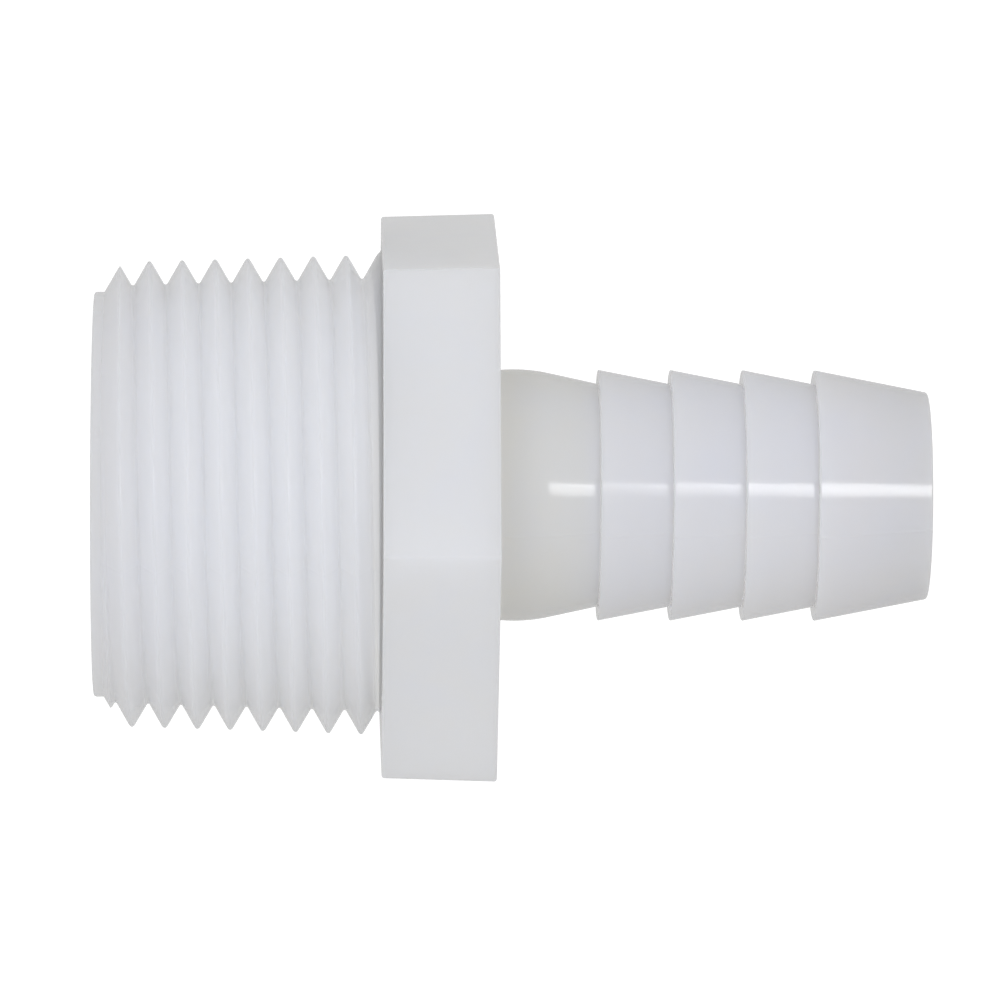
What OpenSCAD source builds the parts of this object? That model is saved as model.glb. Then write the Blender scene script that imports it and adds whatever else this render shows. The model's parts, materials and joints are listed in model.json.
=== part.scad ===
// Hose adapter for a thru hull fitting: a tapered male pipe thread, a hexagonal
// wrench collar and a barbed hose tail on one straight bore.
// The bore runs along X, from the threaded end at the origin to the hose end at +X.
// The real object is a single moulding, so its sections meet face to face
// and all move as one rigid body.

/* [Pipe thread] */
// Threads per inch of the tapered pipe thread
threads_per_inch = 14; // [13:0.5:16]
// Length of the threaded spigot, from its end face to the collar
spigot_length = 15.9; // [14:0.1:20]
// Diameter of the thread's root, worked back to the end face
thread_root_d = 23.05; // [22.8:0.05:23.6]
// Height of the thread's ridge above its root
thread_depth = 1.33; // [1:0.01:1.4]
// Growth in diameter for each unit of length
thread_taper = 0.0625; // [0:0.0025:0.08]
// Diameter of the plain lead ring at the threaded end
lead_ring_d = 22.45; // [21.8:0.05:22.7]
// Width of the plain lead ring
lead_ring_width = 0.55; // [0.4:0.05:1.5]
// Slope of the chamfer that trims the first turn, from the bore's axis
lead_in_angle = 60; // [45:5:70]

/* [Hexagonal collar] */
// Thickness of the collar
collar_thickness = 6.35; // [5:0.05:10]
// Width across the flats at the middle of the collar
collar_flats = 28.575; // [28:0.025:34]
// Draft of each flat, which narrows the collar towards the thread
collar_draft = 1.5; // [0:0.1:3]

/* [Hose tail] */
// Diameter of the plain neck beside the collar
neck_d = 14.0; // [13.2:0.05:14.4]
// Length of the plain neck
neck_length = 1.7; // [1:0.1:4]
// Length of the cone from the neck down to the first barb
neck_cone_length = 3.95; // [3:0.05:6]
// Number of barbs on the hose tail
barb_count = 4; // [2:1:6]
// Distance from one barb to the next
barb_pitch = 4; // [3:0.1:5]
// Diameter over a barb's edge
barb_d = 13.93; // [13.4:0.01:14.6]
// Slope of a barb's cone, from the bore's axis
barb_angle = 11; // [8:0.5:12]
// Length of the last barb, which forms the end of the tail
last_barb_length = 6.3; // [4:0.1:7]

/* [Bore] */
// Diameter of the bore through the hose tail
tail_bore_d = 9.5; // [8:0.1:10]
// Diameter of the wider bore in the threaded end
spigot_bore_d = 17; // [14:0.1:18]
// How far the wider bore reaches into the collar
bore_reach = 1.5; // [0.5:0.1:2]

/* [Hidden] */
MM_PER_INCH = 25.4;
thread_pitch = MM_PER_INCH / threads_per_inch;
// The ridge's foot and crest as shares of half a pitch
foot_share = 0.92;
crest_share = 0.12;
// Angle from +Z towards +Y at which a crest passes phase_place
thread_phase = 12;
segments_per_turn = 48;
// Height at which the ridge starts and ends, as a share of its full height
least_ridge = 0.12;

foot_half = foot_share * thread_pitch / 2;
crest_half = crest_share * thread_pitch / 2;
collar_at = spigot_length;
collar_end = collar_at + collar_thickness;
neck_end = collar_end + neck_length;
first_barb_at = neck_end + neck_cone_length;
barb_root_d = barb_d - 2 * barb_pitch * tan(barb_angle);
tail_end_d = barb_d - 2 * last_barb_length * tan(barb_angle);
tail_end = first_barb_at + (barb_count - 1) * barb_pitch + last_barb_length;
bore_step = (spigot_bore_d - tail_bore_d) / 2;
wide_bore_end = collar_at + bore_reach;
tail_bore_start = wide_bore_end + bore_step;
// How far a cutting shape passes the faces it cuts
clearance = 1;

NYLON = [0.87, 0.88, 0.87];
RIDGE_NYLON = [0.82, 0.84, 0.84];
COLLAR_NYLON = [0.84, 0.85, 0.86];
$fn = 96;

// A straight or tapered round solid along the bore's axis
module round_x(from, to, d1, d2) {
    translate([from, 0, 0])
        rotate([0, 90, 0])
            cylinder(h = to - from, d1 = d1, d2 = d2);
}

// The hollow of the whole fitting, cut a little past both ends
module bore() {
    round_x(-clearance, wide_bore_end, spigot_bore_d, spigot_bore_d);
    round_x(wide_bore_end, tail_bore_start, spigot_bore_d, tail_bore_d);
    round_x(tail_bore_start, tail_end + clearance, tail_bore_d, tail_bore_d);
}

// A tube section with a straight or tapered outside and a straight hole
module tube_x(from, to, d1, d2, hole_d) {
    difference() {
        round_x(from, to, d1, d2);
        round_x(from - clearance, to + clearance, hole_d, hole_d);
    }
}

module lead_ring() {
    color(NYLON)
        tube_x(0, lead_ring_width, lead_ring_d, lead_ring_d, spigot_bore_d);
}

module spigot_body() {
    color(NYLON)
        tube_x(
            lead_ring_width,
            spigot_length,
            2 * root_radius(lead_ring_width),
            2 * root_radius(spigot_length),
            spigot_bore_d
        );
}

// Radius of the thread's root at a place along the axis
function root_radius(x) = (thread_root_d + thread_taper * x) / 2;

// Share of the full height that the lead-in chamfer leaves the ridge
function lead_in(x) =
    let (room = lead_ring_d / 2 + (x - lead_ring_width) * tan(lead_in_angle))
    min(1, (room - root_radius(x)) / thread_depth);

// Height of the ridge's flank at a distance from its crest
function flank(t) =
    thread_depth * max(0, min(1, (foot_half - abs(t)) / (foot_half - crest_half)));

// First place where the chamfer leaves the least ridge
thread_start = lead_ring_width
    + (2 * root_radius(lead_ring_width) - lead_ring_d + 2 * least_ridge * thread_depth)
    / (2 * tan(lead_in_angle) - thread_taper);
// Last place: the collar's face has cut the ridge down to the least height
thread_end = spigot_length + crest_half
    + (1 - least_ridge) * (foot_half - crest_half);
// Place along the bore that a crest passes at the angle of thread_phase
phase_place = 6.65;
stations = floor((thread_end - thread_start) / thread_pitch * segments_per_turn);

// A point of the thread, turned right-handed about the bore's axis
function thread_point(x, r, angle) = [x, -r * sin(angle), r * cos(angle)];

// The four corners of the ridge where its crest is at one place along the helix
function ridge_section(crest) =
    let (
        angle = -thread_phase + 360 * (crest - phase_place) / thread_pitch,
        share = lead_in(crest),
        xa = max(crest - foot_half, lead_ring_width),
        xb = min(crest - crest_half, spigot_length),
        xc = min(crest + crest_half, spigot_length),
        xd = min(crest + foot_half, spigot_length),
        trimmed = crest - crest_half >= spigot_length,
        hb = share * flank(xb - crest),
        hc = trimmed ? hb / 2 : share * flank(xc - crest)
    )
    [
        thread_point(xa, root_radius(xa), angle),
        thread_point(xb, root_radius(xb) + hb, angle),
        thread_point(xc, root_radius(xc) + hc, angle),
        thread_point(xd, root_radius(xd), angle)
    ];

module pipe_thread() {
    corners = 4;
    points = [
        for (i = [0:stations])
            each ridge_section(thread_start + i * thread_pitch / segments_per_turn)
    ];
    sides = [
        for (i = [0:stations - 1], j = [0:corners - 1])
            let (
                a = i * corners + j,
                b = i * corners + (j + 1) % corners
            )
            each [[a, b, a + corners], [b, b + corners, a + corners]]
    ];
    first_cap = [[2, 1, 0], [3, 2, 0]];
    last = stations * corners;
    last_cap = [[last, last + 1, last + 2], [last, last + 2, last + 3]];
    color(RIDGE_NYLON)
        polyhedron(points = points, faces = concat(sides, first_cap, last_cap));
}

// Everything under one drafted flat of the collar
module under_flat(turn) {
    size = 2 * collar_flats;
    rotate([turn, 0, 0])
        translate([collar_at + collar_thickness / 2, 0, collar_flats / 2])
            rotate([0, -collar_draft, 0])
                translate([-size / 2, -size / 2, -size])
                    cube(size);
}

module hex_collar() {
    flats = 6;
    color(COLLAR_NYLON)
        difference() {
            intersection() {
                translate([collar_at, -collar_flats, -collar_flats])
                    cube([collar_thickness, 2 * collar_flats, 2 * collar_flats]);
                intersection_for(i = [0:flats - 1])
                    under_flat(i * 360 / flats);
            }
            bore();
        }
}

module tail_neck() {
    color(NYLON)
        difference() {
            union() {
                round_x(collar_end, neck_end, neck_d, neck_d);
                round_x(neck_end, first_barb_at, neck_d, barb_root_d);
            }
            bore();
        }
}

// One barb: a sharp-edged step facing the collar and a cone towards the hose
module barb(i) {
    from = first_barb_at + (i - 1) * barb_pitch;
    is_last = i == barb_count;
    to = is_last ? tail_end : from + barb_pitch;
    color(NYLON)
        tube_x(from, to, barb_d, is_last ? tail_end_d : barb_root_d, tail_bore_d);
}

lead_ring();
spigot_body();
pipe_thread();
hex_collar();
tail_neck();
for (i = [1:barb_count])
    barb(i);
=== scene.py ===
import json
import math

import bmesh
import bpy
import numpy as np
from mathutils import Matrix, Vector

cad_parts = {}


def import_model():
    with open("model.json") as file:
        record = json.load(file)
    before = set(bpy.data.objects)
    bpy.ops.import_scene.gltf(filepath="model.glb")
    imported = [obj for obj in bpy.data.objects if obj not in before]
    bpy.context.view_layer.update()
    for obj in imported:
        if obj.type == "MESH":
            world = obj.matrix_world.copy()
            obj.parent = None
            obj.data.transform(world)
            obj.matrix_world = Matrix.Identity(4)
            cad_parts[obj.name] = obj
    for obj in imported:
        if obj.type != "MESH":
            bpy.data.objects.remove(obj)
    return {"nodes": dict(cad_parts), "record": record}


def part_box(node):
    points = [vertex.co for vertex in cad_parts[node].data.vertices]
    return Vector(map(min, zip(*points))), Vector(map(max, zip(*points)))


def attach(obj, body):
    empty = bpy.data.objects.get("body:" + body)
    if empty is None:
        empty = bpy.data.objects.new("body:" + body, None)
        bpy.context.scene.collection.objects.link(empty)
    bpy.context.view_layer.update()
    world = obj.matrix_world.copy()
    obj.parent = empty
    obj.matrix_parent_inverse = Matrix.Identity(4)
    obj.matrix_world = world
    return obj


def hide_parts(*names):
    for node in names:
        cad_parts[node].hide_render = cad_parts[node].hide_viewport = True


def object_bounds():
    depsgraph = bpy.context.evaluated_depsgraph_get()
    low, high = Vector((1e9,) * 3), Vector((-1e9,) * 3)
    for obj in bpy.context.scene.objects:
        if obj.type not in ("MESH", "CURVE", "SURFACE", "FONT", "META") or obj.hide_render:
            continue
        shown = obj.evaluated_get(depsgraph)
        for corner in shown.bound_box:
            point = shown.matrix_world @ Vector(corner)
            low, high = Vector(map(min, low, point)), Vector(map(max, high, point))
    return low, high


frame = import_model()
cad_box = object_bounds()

# A hose adapter moulded in natural nylon. Lengths are in millimetres until a mesh is made,
# because the fitting is small. The bore runs along X, from the thread to the hose end.
MM = 0.001
LENGTH = cad_box[1].x / MM
BODY = "root"

# The tapered pipe thread: 14 turns to the inch, 60 degree flanks, 1 in 16 on diameter
PITCH = 25.4 / 14
FLANK = math.tan(math.radians(60))
TAPER = 1 / 32
ROOT_RADIUS = 0.12
CREST_SOFTNESS = 0.07
LEAD_IN = math.tan(math.radians(60))
# A crest passes this place along the bore where it points at this angle from +Z
CREST_PLACE = 6.65
CREST_ANGLE = math.radians(-12)
ROWS_PER_TURN = 32

# The last groove fills up, with this slope, once its middle is this far past the collar's face
RUN_OUT_AFTER = 0.25
RUN_OUT_SLOPE = 2.2
SHOULDER_FILLET = 0.45

# The threaded end's rim, and the chamfer of its bore, whose two edges are rounded
RIM_ROUNDING = 0.14
MOUTH_CHAMFER = 0.3
MOUTH_ROUNDINGS = (0.08, 0.1)

# The collar. Its flats sink by this much in their middles, as thick moulded flats do.
FLATS = 6
FLAT_TURN = 2 * math.pi / FLATS
COLLAR_DRAFT = math.tan(math.radians(1.5))
CORNER_RADIUS = 0.22
EDGE_RADIUS = 0.16
SINK = 0.035
# How far the wide bore of the threaded end reaches into the collar
BORE_REACH = 1.5
BORE_ROUNDING = 0.5

# The neck is this much thinner beside the collar, and up to this much thicker where it swells
NECK_PINCH = 0.05
NECK_SWELL = 0.03
SWELL_PLACE = 1.75
SWELL_ROUNDING = 9
NECK_FILLET = 0.14
FILLET_RISE = 0.08

# The barbs of the hose tail. A barb's edge is drawn this much too high, for its rounding.
BARB_SLOPE = math.tan(math.radians(11))
BARB_ROUNDING = 0.07
BARB_RISE = 0.005
# A barb's face is parted this far below the cone before it, so that its hidden part can glow
HIDDEN_BELOW = 0.02
# The tail's open end is rounded outside and inside
TIP_ROUNDING = 0.16
TIP_BORE_ROUNDING = 0.12

# The sections of the moulding stand this far apart, and the faces where they meet glow as
# faintly as this, because inside the solid nylon light passes from one section to the next
HAIR = 0.004
JOINT_GLOW = 0.17

# The mould's parting line, a hair of flash on opposite sides, at angles from +Z towards -Y
PARTING = (math.radians(97.5), math.radians(277.5))
FLASH_HEIGHT = 0.012
FLASH_WIDTH = 0.05

# Angles around the bore at which every round piece is sampled, finer at the parting line
EVEN_STEPS = 240
FINE_DEGREES = (-0.7, -0.4, -0.2, 0, 0.2, 0.4, 0.7)
THETA = np.array(
    sorted(
        set(round(2 * math.pi * i / EVEN_STEPS, 9) for i in range(EVEN_STEPS))
        | set(round(line + math.radians(a), 9) for line in PARTING for a in FINE_DEGREES)
    )
)

# Points closer than this are one point, in metres. Sharper edges than this stay sharp.
MERGE = 2e-7
SHARP = math.radians(38)


def node_size(node):
    """Where a CAD node starts and ends along the bore, and its greatest height above it."""
    low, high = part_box(node)
    return low.x / MM, high.x / MM, high.z / MM


def mount_radius(name):
    """The radius of a bore that the record states as a mount."""
    return next(m["dims"]["r_mm"] for m in frame["record"]["mounts"] if m["name"] == name)


WIDE_BORE = mount_radius("spigot_bore")
TAIL_BORE = mount_radius("tail_bore")
BARBS = sorted(node for node in frame["nodes"] if node.startswith("barb_"))


def barb_foot():
    """Radius at the foot of a barb's cone, where the next barb steps up."""
    start, end, crest = node_size(BARBS[0])
    return crest - (end - start) * BARB_SLOPE


def joints():
    """Places along the bore where sections meet, and the radius below which their faces touch."""
    _, spigot_end, root_radius = node_size("spigot_body")
    neck_start, _, neck_radius = node_size("tail_neck")
    met = [(spigot_end, root_radius), (neck_start, neck_radius)]
    met.extend((node_size(node)[0], barb_foot()) for node in BARBS)
    return met


# Outlines and meshes


def rounded(corners, steps=6):
    """A closed outline of (x, radius) points, whose corners (x, radius, rounding) are arcs."""
    points = []
    for i, (x, r, rounding) in enumerate(corners):
        here = Vector((x, r))
        if not rounding:
            points.append((x, r))
            continue
        before = (Vector(corners[i - 1][:2]) - here).normalized()
        after = (Vector(corners[(i + 1) % len(corners)][:2]) - here).normalized()
        half = before.angle(after) / 2
        centre = here + (before + after).normalized() * rounding / math.sin(half)
        start = here + before * rounding / math.tan(half) - centre
        end = here + after * rounding / math.tan(half) - centre
        sweep = start.angle(end)
        for k in range(steps + 1):
            t = k / steps
            arm = start * math.sin((1 - t) * sweep) + end * math.sin(t * sweep)
            points.append(tuple(centre + arm / math.sin(sweep)))
    return points


def columns(outline):
    """The places and the radii of an outline's points, as two columns."""
    x, r = (np.array(v)[:, None] for v in zip(*outline))
    return x, r


def flash(r, theta):
    """Height of the parting line's flash above a surface of this radius."""
    height = 0
    for line in PARTING:
        away = (theta - line) * r / FLASH_WIDTH
        height = height + FLASH_HEIGHT * np.exp(-away * away)
    return height


def turned(x, r, theta):
    """Points at radius r and angle theta about the bore, measured from +Z towards -Y."""
    x, r, theta = np.broadcast_arrays(x, r, theta)
    return np.stack([x, -r * np.sin(theta), r * np.cos(theta)], axis=-1)


def numbered(points):
    """The vertex numbers of a grid of points."""
    return np.arange(points.shape[0] * points.shape[1]).reshape(points.shape[:2])


def quads(grid, wrap_rows=True):
    """Faces of a grid of vertex numbers, which closes on itself around the bore."""
    below = np.roll(grid, -1, axis=0) if wrap_rows else grid[1:]
    here = grid if wrap_rows else grid[:-1]
    faces = [here, below, np.roll(below, -1, axis=1), np.roll(here, -1, axis=1)]
    return np.stack(faces, axis=-1).reshape(-1, 4)


def finish_mesh(name, points, faces, nodes):
    """Makes a closed, smooth piece that stands for CAD nodes, from points in millimetres."""
    mesh = bpy.data.meshes.new(name)
    mesh.from_pydata((points.reshape(-1, 3) * MM).tolist(), [], faces.tolist())
    work = bmesh.new()
    work.from_mesh(mesh)
    bmesh.ops.remove_doubles(work, verts=work.verts, dist=MERGE)
    bmesh.ops.dissolve_degenerate(work, edges=work.edges, dist=MERGE)
    bmesh.ops.recalc_face_normals(work, faces=work.faces)
    work.to_mesh(mesh)
    work.free()
    mesh.shade_smooth()
    mesh.set_sharp_from_angle(angle=SHARP)
    piece = bpy.data.objects.new(name, mesh)
    bpy.context.scene.collection.objects.link(piece)
    normals = piece.modifiers.new("face_weighted_normals", "WEIGHTED_NORMAL")
    normals.keep_sharp = True
    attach(piece, BODY)
    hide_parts(*nodes)
    return piece


def lathe(name, outline, nodes, flash_from):
    """Turns a closed outline about the bore. Points beyond flash_from carry the parting line."""
    x, r = columns(outline)
    theta = THETA[None, :]
    radius = r + np.where(r > flash_from, flash(r, theta), 0)
    points = turned(x, radius, theta)
    return finish_mesh(name, points, quads(numbered(points)), nodes)


# The threaded spigot


def groove(distance):
    """Height of the thread's flank above its sharp root, at a distance from the root's middle."""
    curved = ROOT_RADIUS * math.cos(math.radians(30))
    inside = np.clip(distance, 0, curved)
    bottom = 2 * ROOT_RADIUS - np.sqrt(ROOT_RADIUS**2 - inside**2)
    return np.where(distance < curved, bottom, distance * FLANK)


def soft_min(a, b, softness):
    """The smaller of two heights, rounded where they cross."""
    return (a + b - np.sqrt((a - b) ** 2 + softness**2)) / 2


def thread_radius(x, theta, ring, spigot):
    """Radius of the thread's surface at a place along the bore and an angle about it.

    A ring is its end and its radius. A spigot is its end, and the radii of its root and its
    crests, both worked back along the taper to the fitting's end face.
    """
    ring_end, ring_radius = ring
    spigot_end, root_at_start, crest_at_start = spigot
    turns = (x - CREST_PLACE) / PITCH - (theta - CREST_ANGLE) / (2 * math.pi) - 0.5
    after = (turns - np.floor(turns)) * PITCH
    before = PITCH - after
    sharp_root = root_at_start - ROOT_RADIUS + TAPER * x
    # The groove fills up once its middle has passed the collar's face
    run_out = RUN_OUT_SLOPE * np.clip(x + before - spigot_end - RUN_OUT_AFTER, 0, None)
    cut = np.minimum(groove(after), groove(before) + run_out)
    corner = np.clip(x - (spigot_end - SHOULDER_FILLET), 0, SHOULDER_FILLET)
    fillet = SHOULDER_FILLET - np.sqrt(SHOULDER_FILLET**2 - corner**2)
    crest = crest_at_start + TAPER * x + fillet
    chamfer = ring_radius + (x - ring_end) * LEAD_IN
    top = np.minimum(soft_min(crest, chamfer, CREST_SOFTNESS), chamfer)
    surface = soft_min(sharp_root + cut, top, CREST_SOFTNESS)
    return np.where(x <= ring_end, ring_radius, np.maximum(surface, ring_radius))


def thread_sheet(ring, spigot):
    """Vertices and faces of the thread, in rows that follow the helix and stop at both ends."""
    start, end = ring[0], spigot[0]
    step = PITCH / ROWS_PER_TURN
    shift = PITCH * THETA / (2 * math.pi)
    first = CREST_PLACE - math.ceil((CREST_PLACE - start + PITCH) / step) * step
    rows = math.ceil((end - first) / step) + 1
    x = first + step * np.arange(rows)[:, None] + shift[None, :]
    x = np.clip(x, start, end)
    theta = np.broadcast_to(THETA[None, :], x.shape)
    r = thread_radius(x, theta, ring, spigot)
    r = r + np.where(x > start, flash(r, theta), 0)
    grid = numbered(x)
    # After one turn, a row meets the row one pitch further on
    next_column = np.roll(grid, -1, axis=1)
    seam = np.minimum(np.arange(rows) + ROWS_PER_TURN, rows - 1)
    next_column[:, -1] = grid[seam, 0]
    faces = [grid[:-1], grid[1:], next_column[1:], next_column[:-1]]
    return turned(x, r, theta), np.stack(faces, axis=-1).reshape(-1, 4)


def spigot_wall(ring, spigot):
    """The rest of the spigot's skin: the lead ring, the bore and the end face at the collar."""
    ring_end, ring_radius = ring
    spigot_end = spigot[0]
    outline = rounded(
        [
            (ring_end, ring_radius, 0),
            (0, ring_radius, RIM_ROUNDING),
            (0, WIDE_BORE + MOUTH_CHAMFER, MOUTH_ROUNDINGS[0]),
            (MOUTH_CHAMFER, WIDE_BORE, MOUTH_ROUNDINGS[1]),
            (spigot_end, WIDE_BORE, 0),
        ]
    )
    x, r = columns(outline)
    theta = THETA[None, :]
    last = np.full((1, len(THETA)), spigot_end)
    rim_radius = thread_radius(last, theta, ring, spigot)
    rim = turned(last, rim_radius + flash(rim_radius, theta), theta)
    return np.concatenate([turned(x, r, theta), rim])


def threaded_spigot():
    """The lead ring, the spigot and its thread, as one skin with no line between them."""
    _, ring_end, ring_radius = node_size("lead_ring")
    _, spigot_end, body_top = node_size("spigot_body")
    thread_top = node_size("pipe_thread")[2]
    ring = (ring_end, ring_radius)
    spigot = (spigot_end, body_top - TAPER * spigot_end, thread_top - TAPER * spigot_end)
    sheet, faces = thread_sheet(ring, spigot)
    wall = spigot_wall(ring, spigot)
    count = sheet.shape[0] * sheet.shape[1]
    points = np.concatenate([sheet.reshape(-1, 3), wall.reshape(-1, 3)])
    faces = np.concatenate([faces, quads(numbered(wall), wrap_rows=False) + count])
    nodes = ("lead_ring", "spigot_body", "pipe_thread")
    return finish_mesh("threaded_spigot", points, faces, nodes)


# The hexagonal collar


def towards(turn):
    """The direction (y, z) at an angle about the bore, measured from +Z towards -Y."""
    return Vector((-math.sin(turn), math.cos(turn)))


def hexagon(apothem, steps=8, flat_steps=16):
    """Points (y, z, share) of a hexagon: 0 at its rounded corners, 1 at a flat's middle."""
    reach = (apothem - CORNER_RADIUS) / math.cos(FLAT_TURN / 2)
    points = []
    for k in range(FLATS):
        middle = (k + 0.5) * FLAT_TURN
        centre = towards(middle) * reach
        turns = [middle + FLAT_TURN * (i / steps - 0.5) for i in range(steps + 1)]
        arc = [centre + towards(turn) * CORNER_RADIUS for turn in turns]
        points.extend((p.x, p.y, 0) for p in arc)
        next_centre = towards(middle + FLAT_TURN) * reach
        flat_end = next_centre + towards(turns[-1]) * CORNER_RADIUS
        for i in range(1, flat_steps):
            t = i / flat_steps
            p = arc[-1].lerp(flat_end, t)
            points.append((p.x, p.y, 4 * t * (1 - t)))
    return np.array(points)


def hex_loop(x, inset, start, end, apothem_end):
    """The collar's outline at a place along the bore, drawn in by an inset at its edges."""
    outline = hexagon(apothem_end - (end - x) * COLLAR_DRAFT - inset)
    along = (x - start) / (end - start)
    dip = SINK * outline[:, 2] * 4 * along * (1 - along)
    size = np.hypot(outline[:, 0], outline[:, 1])
    scale = (size - dip) / size
    y, z = outline[:, 0] * scale, outline[:, 1] * scale
    return np.stack([np.full(len(y), x), y, z], axis=-1)


def collar_outside(start, end, apothem_end, edge_steps=5, side_steps=8):
    """Loops of the collar's outside, with rounded edges, from the thread to the hose tail."""
    edge = [math.radians(90) * i / edge_steps for i in range(edge_steps + 1)]
    room = end - start - 2 * EDGE_RADIUS
    places = []
    for turn in reversed(edge):
        places.append((start + EDGE_RADIUS * (1 - math.sin(turn)), 1 - math.cos(turn)))
    for i in range(1, side_steps):
        places.append((start + EDGE_RADIUS + room * i / side_steps, 0))
    for turn in edge:
        places.append((end - EDGE_RADIUS * (1 - math.sin(turn)), 1 - math.cos(turn)))
    return [hex_loop(x, EDGE_RADIUS * inset, start, end, apothem_end) for x, inset in places]


def hex_collar():
    """The wrench collar, and inside it the cone between the two bores."""
    start, end, apothem_end = node_size("hex_collar")
    start += HAIR
    loops = collar_outside(start, end, apothem_end)
    corners = hexagon(apothem_end)
    angle = np.arctan2(-corners[:, 0], corners[:, 1])
    cone_end = start + BORE_REACH + WIDE_BORE - TAIL_BORE
    inside = rounded(
        [
            (end, TAIL_BORE, 0),
            (cone_end, TAIL_BORE, BORE_ROUNDING),
            (start + BORE_REACH, WIDE_BORE, BORE_ROUNDING),
            (start, WIDE_BORE, 0),
        ]
    )
    # The first and last rings part the faces that meet the other sections from those in view
    rings = [(end, node_size("tail_neck")[2])] + inside + [(start, node_size("spigot_body")[2])]
    loops.extend(turned(x, radius, angle) for x, radius in rings)
    points = np.stack(loops)
    return finish_mesh("hex_collar_visual", points, quads(numbered(points)), ("hex_collar",))


# The hose tail


def tail_neck():
    """The plain neck, which swells a little, and the cone down to the first barb."""
    start, end, radius = node_size("tail_neck")
    start += HAIR
    foot = barb_foot()
    outline = rounded(
        [
            (start, radius + FILLET_RISE, 0),
            (start + NECK_FILLET, radius - NECK_PINCH, NECK_FILLET),
            (start + SWELL_PLACE, radius + NECK_SWELL, SWELL_ROUNDING),
            (end, foot, 0),
            (end, TAIL_BORE, 0),
            (start, TAIL_BORE, 0),
        ],
        steps=10,
    )
    return lathe("tail_neck_visual", outline, ("tail_neck",), (TAIL_BORE + foot) / 2)


def barb(node):
    """One barb: a softened step that faces the collar, and a cone towards the hose."""
    is_last = node == BARBS[-1]
    start, end, crest = node_size(node)
    foot = crest - (end - start) * BARB_SLOPE
    start += HAIR
    outline = rounded(
        [
            (start, barb_foot() - HIDDEN_BELOW, 0),
            (start, crest + BARB_RISE, BARB_ROUNDING),
            (end, foot, TIP_ROUNDING if is_last else 0),
            (end, TAIL_BORE, TIP_BORE_ROUNDING if is_last else 0),
            (start, TAIL_BORE, 0),
        ]
    )
    return lathe(f"{node}_visual", outline, (node,), (TAIL_BORE + foot) / 2)


# Material

# How far light spreads inside the nylon, which is less in the thin walls of the tail
THICK_SCATTER = 9.0
TAIL_SCATTER = 1.8
# The thread's skin is duller than the rest, whose gloss is a plain plastic's
THREAD_GLOSS = 0.2
PLAIN_GLOSS = 0.5

# Painted shade: the thread's crests are greyer than its root, as thin crests let more light
# through
PAINTED_CREST_SHADE = (0.945, 0.945, 0.945)
# Faint clouds, from cool to warm
CLOUD_TINTS = (
    (0.34, (0.982, 0.985, 1.0)),
    (0.5, (0.99, 0.99, 0.99)),
    (0.66, (0.995, 0.99, 0.98)),
)


def painted_shades_along_bore():
    """Painted shade along the bore: greyer at both open ends, darker and slightly warm at the
    neck.
    """
    collar_start, collar_end, _ = node_size("hex_collar")
    first_barb = node_size(BARBS[0])[0]
    return (
        (0, (0.87, 0.86, 0.865)),
        (1.0, (0.84, 0.835, 0.845)),
        (3.5, (0.93, 0.93, 0.935)),
        (6, (0.985, 0.985, 0.985)),
        (collar_start - 0.1, (0.995, 0.995, 0.995)),
        (collar_start + 0.1, (0.878, 0.878, 0.872)),
        (collar_end - 0.05, (0.878, 0.878, 0.872)),
        (collar_end + 0.15, (0.79, 0.78, 0.74)),
        (first_barb - 1.0, (0.79, 0.785, 0.76)),
        (first_barb + 0.3, (0.808, 0.805, 0.812)),
        (LENGTH - 8.2, (0.808, 0.805, 0.812)),
        (LENGTH - 4.2, (0.785, 0.78, 0.788)),
        (LENGTH, (0.715, 0.71, 0.705)),
    )


def connect(tree, source, output, target, socket):
    """Links one node's output to another node's input."""
    tree.links.new(source.outputs[output], target.inputs[socket])


def noise(tree, place, scale, detail, roughness=0.5, distortion=0.0):
    """A cloud of smooth noise, whose scale is in features to the millimetre."""
    node = tree.nodes.new("ShaderNodeTexNoise")
    node.inputs["Scale"].default_value = scale
    node.inputs["Detail"].default_value = detail
    node.inputs["Roughness"].default_value = roughness
    node.inputs["Distortion"].default_value = distortion
    connect(tree, place, "Vector", node, "Vector")
    return node


def in_millimetres(tree, scale=(1, 1, 1)):
    """Object coordinates in millimetres. A scale below 1 draws patterns out along that axis."""
    place = tree.nodes.new("ShaderNodeTexCoord")
    mapping = tree.nodes.new("ShaderNodeMapping")
    mapping.inputs["Scale"].default_value = [s / MM for s in scale]
    connect(tree, place, "Object", mapping, "Vector")
    return mapping


def ramp(tree, source, stops, output="Fac"):
    """A blend through colours, each at its stop between 0 and 1."""
    node = tree.nodes.new("ShaderNodeValToRGB")
    elements = node.color_ramp.elements
    while len(elements) < len(stops):
        elements.new(0.5)
    for element, (place, colour) in zip(elements, stops):
        element.position = place
        element.color = (*colour, 1)
    connect(tree, source, output, node, "Fac")
    return node


def remapped(tree, source, output, before, after):
    """Maps one range of numbers, (low, high), to another, and holds what lies outside it."""
    node = tree.nodes.new("ShaderNodeMapRange")
    node.inputs["From Min"].default_value, node.inputs["From Max"].default_value = before
    node.inputs["To Min"].default_value, node.inputs["To Max"].default_value = after
    connect(tree, source, output, node, "Value")
    return node


def multiplied(tree, a, a_output, b, b_output):
    """The product of two colours."""
    product = tree.nodes.new("ShaderNodeMix")
    product.data_type = "RGBA"
    product.blend_type = "MULTIPLY"
    product.inputs["Factor"].default_value = 1.0
    connect(tree, a, a_output, product, "A")
    connect(tree, b, b_output, product, "B")
    return product


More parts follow.
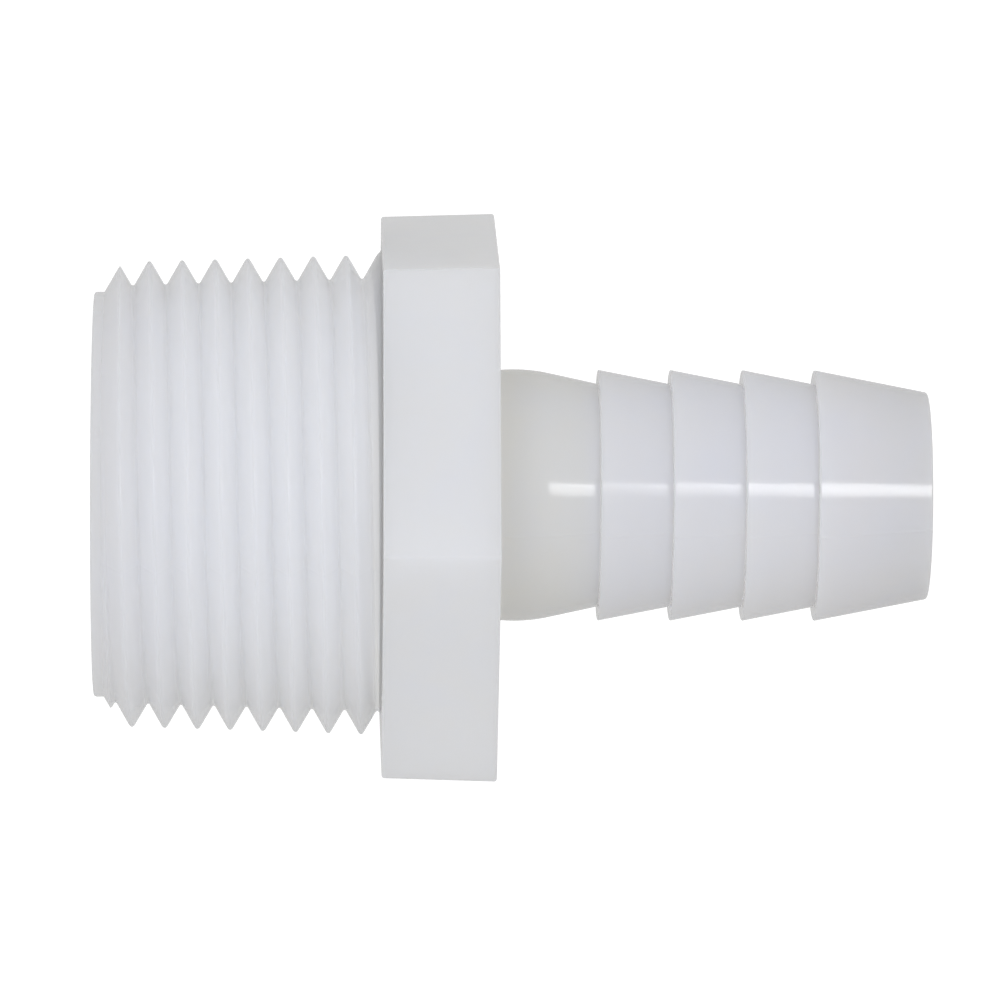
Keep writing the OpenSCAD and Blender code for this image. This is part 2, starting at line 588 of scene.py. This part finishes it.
def painted_shade_along(tree, even):
    """Painted shade by place along the bore."""
    along = tree.nodes.new("ShaderNodeSeparateXYZ")
    connect(tree, even, "Vector", along, "Vector")
    place = tree.nodes.new("ShaderNodeMath")
    place.operation = "DIVIDE"
    place.inputs[1].default_value = LENGTH
    connect(tree, along, "X", place, 0)
    stops = [(at / LENGTH, shade) for at, shade in painted_shades_along_bore()]
    return ramp(tree, place, stops, output="Value")


def painted_crest_shade(tree, even):
    """Painted shade: white up to the thread's root, greyer at its crests and beyond, as on the
    collar.
    """
    flat = tree.nodes.new("ShaderNodeVectorMath")
    flat.operation = "MULTIPLY"
    flat.inputs[1].default_value = (0, 1, 1)
    connect(tree, even, "Vector", flat, 0)
    radius = tree.nodes.new("ShaderNodeVectorMath")
    radius.operation = "LENGTH"
    connect(tree, flat, "Vector", radius, 0)
    heights = (node_size("spigot_body")[2], node_size("pipe_thread")[2])
    share = remapped(tree, radius, "Value", heights, (0, 1))
    return ramp(tree, share, [(0, (1, 1, 1)), (1, PAINTED_CREST_SHADE)], output="Result")


def milky_colour(tree, even, shader):
    """Milky nylon, faintly clouded, with painted shade by place along the bore and on the crests.
    """
    clouds = noise(tree, even, scale=0.16, detail=3, roughness=0.55, distortion=0.6)
    tint = ramp(tree, clouds, CLOUD_TINTS)
    cloudy = multiplied(tree, painted_shade_along(tree, even), "Color", tint, "Color")
    shaded = multiplied(tree, cloudy, "Result", painted_crest_shade(tree, even), "Color")
    connect(tree, shaded, "Result", shader, "Base Color")


def moulded_skin(tree, even, shader):
    """A glossy moulded skin: uneven sheen, fine grain and flow waves drawn out along the bore."""
    worn = noise(tree, even, scale=0.9, detail=4, roughness=0.6)
    sheen = remapped(tree, worn, "Fac", (0.3, 0.7), (0.1, 0.14))
    connect(tree, sheen, "Result", shader, "Roughness")
    grain = noise(tree, even, scale=5.0, detail=3, roughness=0.6)
    flow = noise(tree, in_millimetres(tree, (0.25, 1, 1)), scale=1.1, detail=2)
    relief = tree.nodes.new("ShaderNodeMix")
    relief.inputs["Factor"].default_value = 0.35
    connect(tree, flow, "Fac", relief, "A")
    connect(tree, grain, "Fac", relief, "B")
    bump = tree.nodes.new("ShaderNodeBump")
    bump.inputs["Strength"].default_value = 0.12
    bump.inputs["Distance"].default_value = 0.02 * MM
    connect(tree, relief, "Result", bump, "Height")
    connect(tree, bump, "Normal", shader, "Normal")


def nylon(name, scatter, gloss, glow=0.0):
    """Natural nylon: milky, translucent, faintly clouded, with a glossy moulded skin."""
    material = bpy.data.materials.new(name)
    material.use_nodes = True
    tree = material.node_tree
    shader = tree.nodes["Principled BSDF"]
    even = in_millimetres(tree)
    milky_colour(tree, even, shader)
    moulded_skin(tree, even, shader)
    shader.inputs["IOR"].default_value = 1.53
    shader.inputs["Specular IOR Level"].default_value = gloss
    shader.inputs["Subsurface Weight"].default_value = 1.0
    shader.inputs["Subsurface Radius"].default_value = (1.0, 0.97, 0.93)
    shader.inputs["Subsurface Scale"].default_value = scatter * MM
    shader.inputs["Emission Color"].default_value = (1, 1, 1, 1)
    shader.inputs["Emission Strength"].default_value = glow
    return material


def joint_faces(mesh, met):
    """For each face, 1 if it is one of those where two sections meet, or else 0."""
    centres = np.empty(len(mesh.polygons) * 3)
    mesh.polygons.foreach_get("center", centres)
    x, y, z = centres.reshape(-1, 3).T / MM
    hidden = np.zeros(len(x), dtype=bool)
    for place, radius in met:
        hidden |= (abs(x - place) < 2 * HAIR) & (np.hypot(y, z) < radius)
    return hidden.astype(int)


def paint(pieces, name, scatter, gloss):
    """Gives pieces their nylon, and the hidden faces where they meet the same with a glow."""
    outside = nylon(name, scatter, gloss)
    joint = nylon(f"{name}_joint", scatter, gloss, JOINT_GLOW)
    met = joints()
    for piece in pieces:
        piece.data.materials.clear()
        piece.data.materials.append(outside)
        piece.data.materials.append(joint)
        piece.data.polygons.foreach_set("material_index", joint_faces(piece.data, met))


# Studio

# Brightness of the tent of light under and above the fitting, and of the floor and backdrop
TENT_BOTTOM = 0.6
TENT_TOP = 0.63
STAGE_WHITE = 0.97
FLOOR_HALF = 2.0
BACKDROP_RADIUS = 4.0
COOL_WHITE = (0.78, 0.83, 1.0)


def glowing(name, strength):
    """A plain white surface that glows evenly."""
    material = bpy.data.materials.new(name)
    material.use_nodes = True
    shader = material.node_tree.nodes["Principled BSDF"]
    shader.inputs["Base Color"].default_value = (0.15, 0.15, 0.15, 1)
    shader.inputs["Roughness"].default_value = 0.9
    shader.inputs["Emission Color"].default_value = (1, 1, 1, 1)
    shader.inputs["Emission Strength"].default_value = strength
    return material


def stage_piece(name, mesh):
    """Part of the studio that the camera sees, and that leaves the light on the fitting alone."""
    piece = bpy.data.objects.new(name, mesh)
    bpy.context.scene.collection.objects.link(piece)
    mesh.materials.append(glowing(f"{name}_white", STAGE_WHITE))
    piece.visible_diffuse = False
    piece.visible_glossy = False
    piece.visible_shadow = False


def floor():
    """A plain white floor, at the height of the collar's lowest flat."""
    low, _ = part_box("hex_collar")
    signs = ((-1, -1), (1, -1), (1, 1), (-1, 1))
    corners = [(x * FLOOR_HALF, y * FLOOR_HALF, low.z) for x, y in signs]
    mesh = bpy.data.meshes.new("floor")
    mesh.from_pydata(corners, [], [(0, 1, 2, 3)])
    stage_piece("floor", mesh)


def backdrop():
    """A plain white dome behind everything, seen only by a low camera."""
    mesh = bpy.data.meshes.new("backdrop")
    dome = bmesh.new()
    bmesh.ops.create_icosphere(dome, subdivisions=3, radius=BACKDROP_RADIUS)
    dome.to_mesh(mesh)
    dome.free()
    stage_piece("backdrop", mesh)


def world():
    """A tent of soft light around the fitting, a little brighter above than below."""
    scene = bpy.context.scene
    scene.world = bpy.data.worlds.new("studio")
    scene.world.use_nodes = True
    tree = scene.world.node_tree
    background = tree.nodes["Background"]
    background.inputs["Color"].default_value = (1, 1, 1, 1)
    around = tree.nodes.new("ShaderNodeTexCoord")
    split = tree.nodes.new("ShaderNodeSeparateXYZ")
    connect(tree, around, "Generated", split, "Vector")
    fade = remapped(tree, split, "Z", (-1, 1), (TENT_BOTTOM, TENT_TOP))
    connect(tree, fade, "Result", background, "Strength")


def direction(azimuth, elevation):
    """Unit vector from the fitting: azimuth 0 is the camera's side, +90 is the hose end."""
    a, e = math.radians(azimuth), math.radians(elevation)
    return Vector((math.sin(a) * math.cos(e), -math.cos(a) * math.cos(e), math.sin(e)))


def area_light(name, azimuth, elevation, distance, size, radiance, colour=(1, 1, 1)):
    """A soft box that faces the fitting. Radiance 1 is as bright as a glow of strength 1."""
    width, height = size
    middle = (cad_box[0] + cad_box[1]) / 2
    data = bpy.data.lights.new(name, "AREA")
    data.shape = "RECTANGLE"
    data.size = width
    data.size_y = height
    data.energy = radiance * math.pi * width * height
    data.color = colour
    light = bpy.data.objects.new(name, data)
    bpy.context.scene.collection.objects.link(light)
    away = direction(azimuth, elevation)
    light.location = middle + away * distance
    light.rotation_euler = away.to_track_quat("Z", "Y").to_euler()
    return light


def lights():
    """A soft box in front, and a narrow one that shows only as the streak on the tail."""
    front = area_light(
        "front_softbox",
        azimuth=0,
        elevation=18,
        distance=0.9,
        size=(0.6, 0.6),
        radiance=2.45,
        colour=COOL_WHITE,
    )
    front.visible_glossy = False
    strip = area_light(
        "strip_softbox",
        azimuth=41,
        elevation=16,
        distance=0.6,
        size=(0.3, 0.12),
        radiance=7.0,
    )
    strip.visible_diffuse = False


# Camera

CAMERA_ELEVATION = 12
CAMERA_DISTANCE = 0.51
SENSOR = 36.0
# Width of the view at the bore, and where the view's middle lies from the threaded end
VIEW_WIDTH = 55.5 * MM
VIEW_MIDDLE = 22.5 * MM
# The camera stands nearer to the threaded end, and looks a little below the bore
CAMERA_PLACE = 11.3 * MM
BORE_ABOVE_MIDDLE = 0.28 * MM
# The photograph was taken with the camera turned by a hair
ROLL = math.radians(0.38)


def camera():
    """A long lens a little above the bore, which looks at the fitting from the side."""
    data = bpy.data.cameras.new("camera")
    data.sensor_width = SENSOR
    data.lens = SENSOR * CAMERA_DISTANCE / VIEW_WIDTH
    data.clip_start = 0.01
    piece = bpy.data.objects.new("camera", data)
    bpy.context.scene.collection.objects.link(piece)
    away = direction(0, CAMERA_ELEVATION)
    up = direction(180, 90 - CAMERA_ELEVATION)
    target = Vector((VIEW_MIDDLE, 0, 0)) - up * BORE_ABOVE_MIDDLE
    piece.location = Vector((CAMERA_PLACE, 0, 0)) - up * BORE_ABOVE_MIDDLE + away * CAMERA_DISTANCE
    look = (piece.location - target).to_track_quat("Z", "Y")
    piece.rotation_euler = (look.to_matrix() @ Matrix.Rotation(ROLL, 3, "Z")).to_euler()
    bpy.context.scene.camera = piece


camera()
lights()
world()
floor()
backdrop()
paint([threaded_spigot()], "nylon_thread", THICK_SCATTER, THREAD_GLOSS)
paint([hex_collar()], "nylon_collar", THICK_SCATTER, PLAIN_GLOSS)
tail = [tail_neck()] + [barb(node) for node in BARBS]
paint(tail, "nylon_tail", TAIL_SCATTER, PLAIN_GLOSS)

bpy.context.scene.view_settings.view_transform = "Standard"
